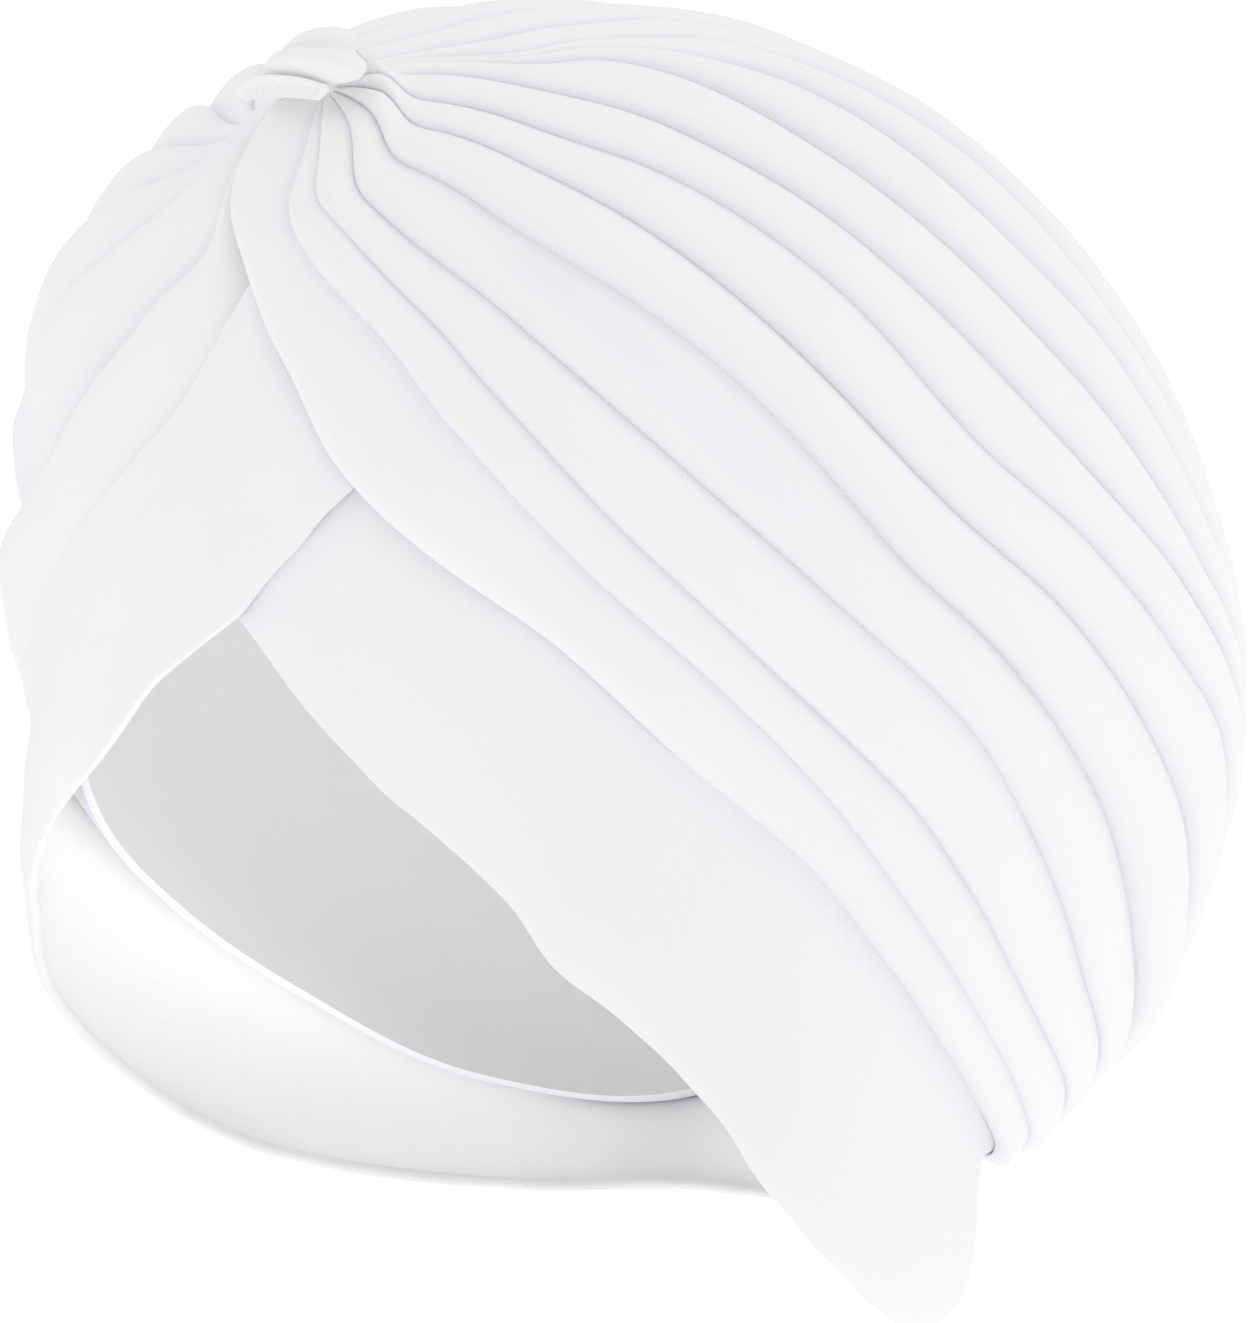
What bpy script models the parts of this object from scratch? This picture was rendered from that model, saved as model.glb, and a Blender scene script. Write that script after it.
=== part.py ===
"""Pleated jersey headwrap in its worn form: knife-pleated crown, two brow bands, knot loop and nape tab.

Metres, +Z up, the face opening looks along -Y and the wearer's left side is +X. The origin is the seat:
the point under the crown where the top of a head carries the wrap.
"""

import bmesh
import bpy
import numpy as np

MM = 0.001

# The two gathers, in millimetres from the seat. Every pleat runs from the knot to the nape like a meridian.
KNOT = np.array([0.0, -90.0, 14.0])
NAPE = np.array([0.0, 54.0, -181.0])
CENTRE = (KNOT + NAPE) / 2
AXIS = (KNOT - NAPE) / np.linalg.norm(KNOT - NAPE)
SIDE = np.array([1.0, 0.0, 0.0])
BACK = np.cross(AXIS, SIDE)

# The head form: distance from the centre in millimetres. Polar is the angle from the knot, and turn is the
# angle round the gathers' axis, 0 on the top centre line and 180 on the face centre line.
FORM_POLAR = (0, 15, 30, 50, 70, 90, 110, 130, 150, 165, 180)
FORM_ROWS = (
    # turn, distance at each polar angle
    (0, (121, 105, 97, 92.5, 94, 98, 105, 116, 129, 131, 121)),
    (30, (121, 106, 98, 92.5, 93.5, 97.5, 105, 116, 128.5, 131, 121)),
    (60, (121, 108, 99.5, 94, 92, 95, 102, 115, 126.5, 132, 121)),
    (90, (121, 109, 102, 96, 93, 94, 99, 109.5, 125, 134, 121)),
    (120, (121, 110, 104.5, 97, 92, 92, 97, 107, 124, 132, 121)),
    (150, (121, 108, 98, 91, 91, 92, 95, 102, 114, 123, 121)),
    (180, (121, 106, 95, 86, 85, 87, 92, 100, 110, 118, 121)),
)

# One row for each folded edge, from the wearer's left round over the top to the right: its height over the
# pleat that it covers, in millimetres, and its turn at each polar angle. The first is the free front edge.
FOLD_POLAR = (4, 10, 20, 30, 50, 70, 90, 110, 130, 150, 176)
FOLD_ROWS = (
    ("left_edge", 3.0, (230, 190, 163, 152.5, 133, 125, 119.5, 117.5, 116, 115, 115)),
    ("left_1", 3.0, (167, 155, 136, 130, 122, 116, 113, 112, 111, 110, 108)),
    ("left_2", 3.2, (155, 137, 124, 120, 115, 110.5, 107, 106, 105, 102.5, 100)),
    ("left_3", 3.6, (125, 118, 110, 107, 103, 100, 97, 97, 97.5, 95.5, 92)),
    ("left_4", 5.0, (100, 90, 89.5, 88.5, 89.5, 91, 89, 88, 88.5, 88, 84)),
    ("left_5", 3.6, (71, 65, 70, 73.5, 80, 82.5, 80, 78, 76.5, 76, 74)),
    ("left_6", 3.4, (41, 43, 54, 58, 66.5, 73, 71.5, 68.5, 64, 62, 63)),
    ("left_7", 3.4, (8, 14, 33, 42.5, 55.5, 62, 64, 61, 57, 54, 52)),
    ("left_8", 3.4, (-14, -2, 18, 20, 40, 51, 55, 55.5, 52, 48, 42)),
    ("left_9", 3.0, (-22, -8, 13, 15, 20, 38, 45, 48.5, 46, 42, 33)),
    ("left_10", 2.6, (-28, -13, 10, 11, 10, 21, 37, 40, 39, 36, 24)),
    ("top_1", 3.0, (-36, -18, -2, 0, 0, 3, 16, 27, 30, 27, 14)),
    ("top_2", 3.0, (-60, -40, -18, -13, -12, -11, -2, 9, 15, 14, 3)),
    ("top_3", 3.0, (-72, -55, -36, -29, -27, -25, -18, -7, 0, 2, -9)),
    ("right_1", 3.2, (-80, -66, -50, -44, -42, -40, -35, -26, -18, -14, -22)),
    ("right_2", 3.2, (-88, -76, -62, -57, -56, -55, -54, -46, -38, -32, -36)),
    ("right_3", 3.2, (-96, -86, -76, -72, -70, -68, -67, -62, -56, -50, -50)),
    ("right_4", 3.2, (-103, -96, -90, -87, -84, -81, -79, -76, -72, -68, -64)),
    ("right_5", 3.2, (-110, -107, -105, -103, -99, -94, -90, -88, -86, -84, -78)),
    ("right_6", 3.2, (-116, -120, -122, -122, -121, -112, -103, -100, -98, -98, -92)),
    ("right_7", 3.0, (-119, -150, -146, -140.5, -137, -126, -116, -112, -110, -108, -106)),
    ("right_edge", 0.0, (-121, -171, -178, -168, -156, -148, -142, -137, -134, -133, -131)),
)
# A narrow pleat stands less high than its row says. It comes near the full height once it is this wide.
WIDE_PLEAT = 9.0
PLEAT_FULLNESS = 1.6
# Across a pleat, from its folded edge (0) to where it goes under the next (1): the points of the section, and
# the stretch along which the cloth sinks.
PLEAT_STEPS = (0.0, 0.12, 0.4, 0.7)
PLEAT_FALL = (-0.13, 1.1)
CROWN_POLAR = (2, 4, 6, 9, 13, 18, 24, 31, 39, 48, 58, 68, 78)
CROWN_POLAR += (88, 98, 108, 118, 128, 138, 147, 155, 162, 168, 173, 176.5)
WALL = 1.3
# The creases lie this far under the head form, so that the folded edges reach it.
PLEAT_SEAT = 3.5
# The front pleats are raised where they lie over the two bands: how far, at which turns the rise starts and is
# whole, and at which polar angles it starts by the knot and fades out past the bands' crossing.
FRONT_LIFT = 5.4
LIFT_TURNS = (112, 138)
LIFT_START = (3, 12)
LIFT_END = (33, 52)
# The last pleat on the right is set deeper, under the right band.
RIGHT_SINK = 0.6
SINK_TURNS = (-140, -118)
# The gathered ends at the knot are drawn back under the loop.
KNOT_SHIFT = 4.7
SHIFT_END = (3, 10)
# The crown's solids, each a group of pleats from one folded edge to another. A group ends this far, in
# millimetres, before the edge that starts the next one.
CROWN_GROUPS = (
    # name, first folded edge, the edge that ends it
    ("crown_left", "left_edge", "left_8"),
    ("crown_upper_left", "left_8", "top_2"),
    ("crown_upper_right", "top_2", "right_3"),
    ("crown_right", "right_3", "right_edge"),
)
GROUP_GAP = 0.33
# Edges between faces that meet at more than this angle are shown sharp.
SHARP_ANGLE = 50

# Brow bands, front to nape: the hem's place in millimetres, then the upper edge's turn and polar angle and
# the height of the outer face over the head form there. Along the share HOLD of its width a band keeps that
# height, where it lies against the crown.
BAND_WALL = 1.3
BAND_STEPS = 9
LEFT_HOLD = 0.2
RIGHT_HOLD = 0.3
LEFT_BAND_ROWS = (
    ((-9, -103, -64), (181, 32, -2.4)),
    ((0, -102.5, -71), (178, 31, -2.4)),
    ((14, -102.5, -82.5), (160, 29, -2.4)),
    ((27, -99, -95), (146, 32, -2.8)),
    ((43, -90, -110.5), (133, 44, -5.8)),
    ((53, -86, -123), (122, 57, -6.2)),
    ((63, -78, -133.5), (116, 70, -6.4)),
    ((70, -70, -145.5), (111, 84, -6.8)),
    ((76, -59, -163.5), (110, 100, -6.8)),
    ((75, -39, -183.5), (110, 118, -6.4)),
    ((69, -19, -197.5), (110, 134, -6.0)),
    ((57, 3, -206), (110, 148, -5.8)),
    ((38, 22, -209), (112, 160, -5.8)),
    ((19, 30, -206.5), (120, 170, -5.8)),
    ((0.2, 33, -204.5), (179, 176, -5.4)),
)
RIGHT_BAND_ROWS = (
    ((32, -99, -33), (166, 14, -1.0)),
    ((22, -104, -46), (176, 14, 0.0)),
    ((11, -105, -58.5), (183, 17, 0.0)),
    ((0, -105, -71), (187, 20, 0.0)),
    ((-14, -104, -82.5), (194, 26.5, 0.0)),
    ((-27, -99.5, -95), (202, 33, 0.0)),
    ((-43, -91, -110.5), (210.5, 43, 0.0)),
    ((-54, -87, -122.5), (215.5, 53, 0.0)),
    ((-64, -79, -133), (221, 67, 0.0)),
    ((-71, -71, -145), (227, 82, 0.2)),
    ((-77, -60, -163), (233, 100, 0.4)),
    ((-75, -40, -183), (237, 118, 0.6)),
    ((-69, -20, -197), (239, 134, 0.8)),
    ((-57, 3, -206), (240, 148, 1.0)),
    ((-38, 22, -209), (238, 160, 1.0)),
    ((-19, 30, -206.5), (236, 170, 0.0)),
    ((-0.2, 33, -204.5), (181, 176, -3.2)),
)

# The knot loop, from its stitched front lip over the gather to the back: place towards the back and height,
# both from the knot point, and half width. Three soft rolls with a groove between each two.
LOOP_ROWS = (
    # back, height, half width
    (-2.4, 0.2, 8.6),
    (-3.3, 1.6, 8.9),
    (-2.6, 3.3, 9.0),
    (-0.6, 4.0, 9.0),
    (1.4, 3.2, 9.0),
    (2.6, 2.5, 9.2),
    (4.0, 3.6, 9.8),
    (6.0, 4.0, 9.9),
    (7.6, 3.1, 9.2),
    (8.6, 2.6, 8.2),
    (9.8, 3.7, 7.6),
    (11.6, 3.7, 7.2),
    (13.2, 2.2, 7.0),
    (13.9, -0.2, 6.8),
    (13.8, -2.2, 6.6),
)
LOOP_HEART = (5.0, -6.0)
LOOP_INNER_SHARE = 0.78
LOOP_SIDE_DROP = 4.2
LOOP_STEPS = 9

# The nape tab, a plain stitched patch over the pleats' gathered ends.
TAB_HALF_WIDTH = 15.0
TAB_HALF_HEIGHT = 12.0
TAB_WALL = 1.8
TAB_OVER = -0.8
TAB_ROUNDING = 0.3
TAB_STEPS = 9


def ramp(value, low, high):
    """0 below low, 1 above high, with a smooth rise between."""
    part = np.clip((np.asarray(value, float) - low) / (high - low), 0.0, 1.0)
    return part * part * (3 - 2 * part)


def through(place, places, values):
    """The smooth curve through the values at the places, read at place."""
    places = np.asarray(places, float)
    values = np.asarray(values, float)
    place = min(max(place, places[0]), places[-1])
    slopes = np.gradient(values, places)
    index = np.clip(np.searchsorted(places, place, side="right") - 1, 0, len(places) - 2)
    span = places[index + 1] - places[index]
    part = (place - places[index]) / span
    return (
        (2 * part**3 - 3 * part**2 + 1) * values[index]
        + (part**3 - 2 * part**2 + part) * span * slopes[index]
        + (3 * part**2 - 2 * part**3) * values[index + 1]
        + (part**3 - part**2) * span * slopes[index + 1]
    )


def form_distance(turn, polar):
    """The head form's distance from the centre. It is the same on both sides of the centre line."""
    turn = abs((turn + 180.0) % 360.0 - 180.0)
    other_side = [(-row_turn, distances) for row_turn, distances in reversed(FORM_ROWS[1:])]
    turns, rows = zip(*other_side, *FORM_ROWS)
    return through(turn, turns, [through(polar, FORM_POLAR, distances) for distances in rows])


def direction(turn, polar):
    turn, polar = np.radians(turn), np.radians(polar)
    across = np.cos(turn) * BACK + np.sin(turn) * SIDE
    return np.cos(polar) * AXIS + np.sin(polar) * across


def head_point(turn, polar, over):
    """A point that lies `over` millimetres outside the head form."""
    return CENTRE + (form_distance(turn, polar) + over) * direction(turn, polar)


def seen_from_centre(point):
    """(turn, polar, distance) of a point."""
    arm = np.asarray(point, float) - CENTRE
    distance = np.linalg.norm(arm)
    turn = np.degrees(np.arctan2(arm @ SIDE, arm @ BACK))
    return turn, np.degrees(np.arccos(np.clip(arm @ AXIS / distance, -1, 1))), distance


def solid(name, outer, inner, material):
    """One closed body between two grids of points of the same size."""
    rows, columns = outer.shape[:2]
    mesh = bpy.data.meshes.new(name)
    work = bmesh.new()
    skins = [[work.verts.new(point * MM) for point in grid.reshape(-1, 3)] for grid in (outer, inner)]

    def cell(skin, row, column):
        start = row * columns + column
        return [skin[start], skin[start + 1], skin[start + columns + 1], skin[start + columns]]

    for skin in skins:
        for row in range(rows - 1):
            for column in range(columns - 1):
                work.faces.new(cell(skin, row, column))
    rim = [row * columns for row in range(rows)]
    rim += [(rows - 1) * columns + column for column in range(1, columns)]
    rim += [row * columns + columns - 1 for row in range(rows - 2, -1, -1)]
    rim += list(range(columns - 2, 0, -1))
    for start, end in zip(rim, rim[1:] + rim[:1]):
        work.faces.new([skins[0][start], skins[0][end], skins[1][end], skins[1][start]])
    bmesh.ops.recalc_face_normals(work, faces=work.faces)
    work.to_mesh(mesh)
    work.free()
    mesh.shade_smooth()
    mesh.set_sharp_from_angle(angle=np.radians(SHARP_ANGLE))
    made = bpy.data.objects.new(name, mesh)
    made.data.materials.append(material)
    bpy.context.scene.collection.objects.link(made)
    return made


def cloth(name, colour):
    material = bpy.data.materials.new(name)
    material.use_nodes = True
    shader = material.node_tree.nodes["Principled BSDF"]
    shader.inputs["Base Color"].default_value = (*colour, 1.0)
    shader.inputs["Roughness"].default_value = 0.9
    shader.inputs["Metallic"].default_value = 0.0
    return material


def layer(turn, polar):
    """How far the creases between the pleats stand off the head form."""
    lift = FRONT_LIFT * ramp(turn, *LIFT_TURNS) * ramp(polar, *LIFT_START) * (1 - ramp(polar, *LIFT_END))
    return lift - PLEAT_SEAT - RIGHT_SINK * (1 - ramp(turn, *SINK_TURNS))


def fold_height(across):
    """A pleat's height from its folded edge (0) to where it goes under the next (1), as a share."""
    edge = PLEAT_STEPS[1]
    if across < edge:
        return np.sqrt(1 - (1 - across / edge) ** 2)
    return 1 - ramp(across, *PLEAT_FALL)


def crown_section(folds, polar):
    """(turn, pleat height) of the points across a group of folds at one polar angle."""
    turns = [through(polar, FOLD_POLAR, row[2]) for row in folds]
    circle = form_distance(90, polar) * np.sin(np.radians(polar))
    if folds[-1] is not FOLD_ROWS[-1]:
        turns[-1] += np.degrees(GROUP_GAP / circle)
    points = []
    for row, start, end in zip(folds, turns, turns[1:]):
        width = np.radians(start - end) * circle
        height = row[1] * PLEAT_FULLNESS * width / (width + WIDE_PLEAT)
        for across in PLEAT_STEPS:
            points.append((start + (end - start) * across, height * fold_height(across)))
    points.append((turns[-1], 0.0))
    return points


def make_crown_group(name, first, last, material):
    names = [row[0] for row in FOLD_ROWS]
    folds = FOLD_ROWS[names.index(first):names.index(last) + 1]
    outer, inner = [], []
    for polar in CROWN_POLAR:
        shift = KNOT_SHIFT * (1 - ramp(polar, *SHIFT_END)) * BACK
        section = crown_section(folds, polar)
        outer.append([head_point(turn, polar, layer(turn, polar) + high) + shift for turn, high in section])
        inner.append(
            [head_point(turn, polar, layer(turn, polar) + high / 2 - WALL) + shift for turn, high in section]
        )
    return solid(name, np.array(outer), np.array(inner), material)


def make_band(name, rows, hold, material):
    """A band between its hem and its upper edge, which keeps its height along the share `hold`."""
    outer, inner = [], []
    for hem, (top_turn, top_polar, top_over) in rows:
        hem_turn, hem_polar, hem_distance = seen_from_centre(hem)
        hem_turn = top_turn + (hem_turn - top_turn + 180) % 360 - 180
        hem_over = hem_distance - form_distance(hem_turn, hem_polar)
        outer.append([])
        inner.append([])
        for share in np.linspace(0, 1, BAND_STEPS):
            turn = hem_turn + (top_turn - hem_turn) * share
            polar = hem_polar + (top_polar - hem_polar) * share
            over = hem_over + (top_over - hem_over) * ramp(share, 0, 1 - hold)
            outer[-1].append(head_point(turn, polar, over))
            inner[-1].append(head_point(turn, polar, over - BAND_WALL))
    return solid(name, np.array(outer), np.array(inner), material)


def loop_point(row, across, share):
    """A point of the knot loop: `across` runs from -1 to 1 over its width, and `share` is 1 on its face."""
    back, height, half_width = row
    heart_back, heart_height = LOOP_HEART
    back = heart_back + (back - heart_back) * share
    height = heart_height + (height - heart_height) * share - LOOP_SIDE_DROP * across**2
    return KNOT + back * BACK + height * AXIS + across * half_width * share**0.5 * SIDE


def make_knot_loop(material):
    places = np.linspace(-1, 1, LOOP_STEPS)
    outer = [[loop_point(row, across, 1.0) for across in places] for row in LOOP_ROWS]
    inner = [[loop_point(row, across, LOOP_INNER_SHARE) for across in places] for row in LOOP_ROWS]
    return solid("knot_loop", np.array(outer), np.array(inner), material)


def make_nape_tab(material):
    outer, inner = [], []
    for down in np.linspace(-1, 1, TAB_STEPS):
        outer.append([])
        inner.append([])
        for across in np.linspace(-1, 1, TAB_STEPS):
            corner = np.sqrt(1 - TAB_ROUNDING * abs(down * across))
            place = NAPE + across * corner * TAB_HALF_WIDTH * SIDE - down * corner * TAB_HALF_HEIGHT * BACK
            turn, polar, _ = seen_from_centre(place)
            outer[-1].append(head_point(turn, polar, TAB_OVER + TAB_WALL))
            inner[-1].append(head_point(turn, polar, TAB_OVER))
    return solid("nape_tab", np.array(outer), np.array(inner), material)


def main():
    for item in list(bpy.data.objects):
        bpy.data.objects.remove(item, do_unlink=True)
    white = cloth("white_jersey", (0.86, 0.86, 0.89))
    for name, first, last in CROWN_GROUPS:
        make_crown_group(name, first, last, white)
    make_band("brow_band_left", LEFT_BAND_ROWS, LEFT_HOLD, white)
    make_band("brow_band_right", RIGHT_BAND_ROWS, RIGHT_HOLD, white)
    make_knot_loop(white)
    make_nape_tab(white)


main()
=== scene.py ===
# %% [markdown]
# A pleated jersey headwrap in its worn form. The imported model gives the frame: where the crown, the two brow
# bands, the knot loop and the nape tab are, at their real size. This lesson dresses it. Every piece of cloth is
# drawn from a few short tables, as the plain solids are, only with far more points, so that a pleat can be what
# it is on the real wrap: a folded edge that lies over its neighbour.

# %% Load the frame
import math

import bmesh
import bpy
import numpy as np
from mathutils import Matrix, Vector, noise


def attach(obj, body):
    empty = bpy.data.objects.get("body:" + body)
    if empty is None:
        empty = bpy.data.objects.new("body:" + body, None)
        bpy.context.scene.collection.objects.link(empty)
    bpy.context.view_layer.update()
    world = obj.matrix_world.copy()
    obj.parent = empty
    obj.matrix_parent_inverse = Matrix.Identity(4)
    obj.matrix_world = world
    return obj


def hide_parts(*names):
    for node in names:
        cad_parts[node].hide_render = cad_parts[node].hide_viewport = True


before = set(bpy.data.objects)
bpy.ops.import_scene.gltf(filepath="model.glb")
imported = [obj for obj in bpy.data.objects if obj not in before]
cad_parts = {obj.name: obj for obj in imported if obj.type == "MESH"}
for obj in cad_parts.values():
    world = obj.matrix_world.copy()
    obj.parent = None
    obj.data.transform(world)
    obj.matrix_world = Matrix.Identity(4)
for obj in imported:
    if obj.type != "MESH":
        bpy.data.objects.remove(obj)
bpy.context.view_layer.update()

MM = 0.001

# %% [markdown]
# The camera comes first, because it says which folds will be seen. The wrap is seen from the wearer's front
# left, a little above. A long lens is used, which keeps the far side as large as the near side. The picture has
# nothing of known size in it, so the wrap's size is assumed, and with it how many pixels make a metre at the
# point where the two brow bands cross. A long lens then needs only its distance worked out.

# %% Camera
PICTURE = (1258, 1323)
PIXELS_PER_METRE = 6200
CROSSING = np.array([0.0, -0.105, -0.071])
CROSSING_PIXEL = (230, 620)
AZIMUTH, ELEVATION = math.radians(40), math.radians(18)
LENS, SENSOR = 1000, 36

camera_right = np.array([math.cos(AZIMUTH), math.sin(AZIMUTH), 0])
camera_back = np.array([
    math.sin(AZIMUTH) * math.cos(ELEVATION), -math.cos(AZIMUTH) * math.cos(ELEVATION), math.sin(ELEVATION)
])
camera_up = np.cross(camera_back, camera_right)


def add_camera():
    data = bpy.data.cameras.new("camera")
    data.lens, data.sensor_width = LENS, SENSOR
    across = (PICTURE[0] / 2 - CROSSING_PIXEL[0]) / PIXELS_PER_METRE
    down = (PICTURE[1] / 2 - CROSSING_PIXEL[1]) / PIXELS_PER_METRE
    aim = CROSSING + camera_right * across - camera_up * down
    aim -= camera_back * (aim @ camera_back)
    distance = PICTURE[1] / PIXELS_PER_METRE * LENS / SENSOR
    camera = bpy.data.objects.new("camera", data)
    place = Matrix(np.column_stack([camera_right, camera_up, camera_back])).to_4x4()
    place.translation = Vector(aim + camera_back * distance)
    camera.matrix_world = place
    data.clip_end = distance * 10
    bpy.context.scene.collection.objects.link(camera)
    bpy.context.scene.camera = camera
    return distance


print("camera distance in metres:", round(add_camera(), 2))

# %% [markdown]
# Every pleat runs from the knot over the head to the nape, like the meridians of a globe whose poles are those
# two gathers. So the cloth is drawn in the globe's own coordinates. `polar` is the angle down from the knot,
# `turn` is the angle round it, 0 on the top centre line and 180 on the face's, and the head form gives the
# distance from the centre. The alternative, plain X, Y and Z for every fold, would need a long list of points.

# %% The head form
KNOT = np.array([0.0, -90.0, 14.0])
NAPE = np.array([0.0, 54.0, -181.0])
CENTRE = (KNOT + NAPE) / 2
AXIS = (KNOT - NAPE) / np.linalg.norm(KNOT - NAPE)
SIDE = np.array([1.0, 0.0, 0.0])
BACK = np.cross(AXIS, SIDE)

FORM_POLAR = (0, 15, 30, 50, 70, 90, 110, 130, 150, 165, 180)
FORM_ROWS = (
    # turn, distance in millimetres at each polar angle
    (0, (121, 105, 97, 92.5, 94, 98, 105, 116, 129, 131, 121)),
    (30, (121, 106, 98, 92.5, 93.5, 97.5, 105, 116, 128.5, 131, 121)),
    (60, (121, 108, 99.5, 94, 92, 95, 102, 115, 126.5, 132, 121)),
    (90, (121, 109, 102, 96, 93, 94, 99, 109.5, 125, 134, 121)),
    (120, (121, 110, 104.5, 97, 92, 92, 97, 107, 124, 132, 121)),
    (150, (121, 108, 98, 91, 91, 92, 95, 102, 114, 123, 121)),
    (180, (121, 106, 95, 86, 85, 87, 92, 100, 110, 118, 121)),
)


def ramp(value, low, high):
    """0 below low, 1 above high, with a smooth rise between."""
    part = np.clip((np.asarray(value, float) - low) / (high - low), 0.0, 1.0)
    return part * part * (3 - 2 * part)


def through(place, places, values):
    """The smooth curve through the values at the places, read at place, which may be many."""
    places, values = np.asarray(places, float), np.asarray(values, float)
    place = np.clip(place, places[0], places[-1])
    slopes = np.gradient(values, places)
    index = np.clip(np.searchsorted(places, place, side="right") - 1, 0, len(places) - 2)
    span = places[index + 1] - places[index]
    part = (place - places[index]) / span
    return (
        (2 * part**3 - 3 * part**2 + 1) * values[index]
        + (part**3 - 2 * part**2 + part) * span * slopes[index]
        + (3 * part**2 - 2 * part**3) * values[index + 1]
        + (part**3 - part**2) * span * slopes[index + 1]
    )


def form_distance(turn, polar):
    """The head form's distance from the centre for many turns at one polar angle, the same on both sides."""
    turn = np.abs((np.asarray(turn, float) + 180.0) % 360.0 - 180.0)
    other_side = [(-row_turn, distances) for row_turn, distances in reversed(FORM_ROWS[1:])]
    turns, rows = zip(*other_side, *FORM_ROWS)
    return through(turn, turns, [through(polar, FORM_POLAR, distances) for distances in rows])


def head_points(turn, polar, over):
    """Points that lie `over` millimetres outside the head form, for many turns at one polar angle."""
    turn = np.asarray(turn, float)
    arm = np.radians(turn)[..., None]
    out = math.sin(math.radians(polar)) * (np.cos(arm) * BACK + np.sin(arm) * SIDE)
    out = out + math.cos(math.radians(polar)) * AXIS
    return CENTRE + (form_distance(turn, polar) + over)[..., None] * out


def seen_from_centre(point):
    """(turn, polar, distance) of a point."""
    arm = np.asarray(point, float) - CENTRE
    distance = np.linalg.norm(arm)
    turn = np.degrees(np.arctan2(arm @ SIDE, arm @ BACK))
    return turn, np.degrees(np.arccos(np.clip(arm @ AXIS / distance, -1, 1))), distance


print("gather to gather in millimetres:", round(float(np.linalg.norm(KNOT - NAPE))))

# %% [markdown]
# Cloth has two faces and an edge, so each piece is a closed shell: an outer chain of points, an inner chain, and
# a narrow strip that joins them. A Solidify modifier would do this too, but it offsets a tight fold into
# itself. The shell below takes one outer and one inner chain for each station along the cloth. It also keeps
# where each point lay on the flat cloth, for the knit, and how much painted shade each outer point takes, from
# how deep in a crease it is or how near an edge lying over it, for the colour.

# %% Cloth shells
SHARP_ANGLE = math.radians(50)


def soft_noise(points, size, seed=0.0):
    """Smooth noise between about -1 and 1 at points in millimetres, with bumps of about that size."""
    offset = Vector((seed * 17.3, seed * 5.1, seed * 11.7))
    flat = points.reshape(-1, 3) / size
    return np.array([noise.noise(Vector(p) + offset) for p in flat]).reshape(points.shape[:-1])


def join_chains(work, outer, inner):
    """The strip of faces between two chains of different length."""
    here, there = 0, 0
    while here < len(outer) - 1 or there < len(inner) - 1:
        step_outer = there == len(inner) - 1 or (
            here < len(outer) - 1 and (here + 1) / (len(outer) - 1) <= (there + 1) / (len(inner) - 1)
        )
        if step_outer:
            corner = outer[here + 1]
            here += 1
            work.faces.new([outer[here - 1], corner, inner[there]])
        else:
            corner = inner[there + 1]
            there += 1
            work.faces.new([outer[here], corner, inner[there - 1]])


def cloth_shell(name, outer, inner, flat_outer, flat_inner, painted_shade):
    """A closed shell from outer and inner grids (station, point), their places on the flat cloth, and the
    outer points' painted shade, from crease depth or from an edge lying over them."""
    work = bmesh.new()
    stations, width = outer.shape[:2]
    loop = np.concatenate([outer, inner[:, ::-1]], axis=1)
    flat = np.concatenate([flat_outer, flat_inner[:, ::-1]], axis=1)
    # painted shade on the outer points only; the inner face takes none
    depth = np.concatenate([painted_shade, np.zeros(inner.shape[:2])], axis=1)
    around = loop.shape[1]
    corners = [work.verts.new(point * MM) for point in loop.reshape(-1, 3)]
    for station in range(stations - 1):
        for point in range(around):
            nxt = (point + 1) % around
            low, high = station * around, (station + 1) * around
            work.faces.new([corners[low + point], corners[low + nxt], corners[high + nxt], corners[high + point]])
    for station in (0, stations - 1):
        ends = corners[station * around:(station + 1) * around]
        join_chains(work, ends[:width], ends[width:][::-1])
    bmesh.ops.recalc_face_normals(work, faces=work.faces)
    mesh = bpy.data.meshes.new(name)
    work.to_mesh(mesh)
    work.free()
    mesh.shade_smooth()
    mesh.set_sharp_from_angle(angle=SHARP_ANGLE)
    flat_map = mesh.uv_layers.new(name="cloth")
    corner_vertex = np.empty(len(mesh.loops), np.int32)
    mesh.loops.foreach_get("vertex_index", corner_vertex)
    flat_map.data.foreach_set("uv", flat.reshape(-1, 2)[corner_vertex].ravel())
    # the painted shade, kept on the points for the materials to mix in
    mesh.attributes.new("painted_shade", "FLOAT", "POINT").data.foreach_set("value", depth.ravel())
    piece = bpy.data.objects.new(name, mesh)
    bpy.context.scene.collection.objects.link(piece)
    return piece


def lengths_along(grid, axis):
    """Running length in millimetres along one axis of a grid of points."""
    steps = np.linalg.norm(np.diff(grid, axis=axis), axis=-1)
    start = np.zeros_like(np.take(steps, [0], axis=axis))
    return np.concatenate([start, np.cumsum(steps, axis=axis)], axis=axis)


def report(piece):
    corners = np.array([v.co for v in piece.data.vertices])
    area = sum(face.area for face in piece.data.polygons)
    size = np.round((corners.max(0) - corners.min(0)) * 1000, 1)
    print(f"{piece.name}: {len(piece.data.polygons)} faces, {size} mm, surface {area:.4f} m2")


# %% [markdown]
# The crown is one length of jersey laid in knife pleats. In a knife pleat the cloth comes up over a folded edge,
# sinks across the pleat's face, passes under the next folded edge and turns back. Bump mapping could fake the
# lines, but not the shadow in the crease or the scalloped outline, so the folds are real here. One table row
# for each folded edge gives its height and its turn from the knot to the nape.

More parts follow.
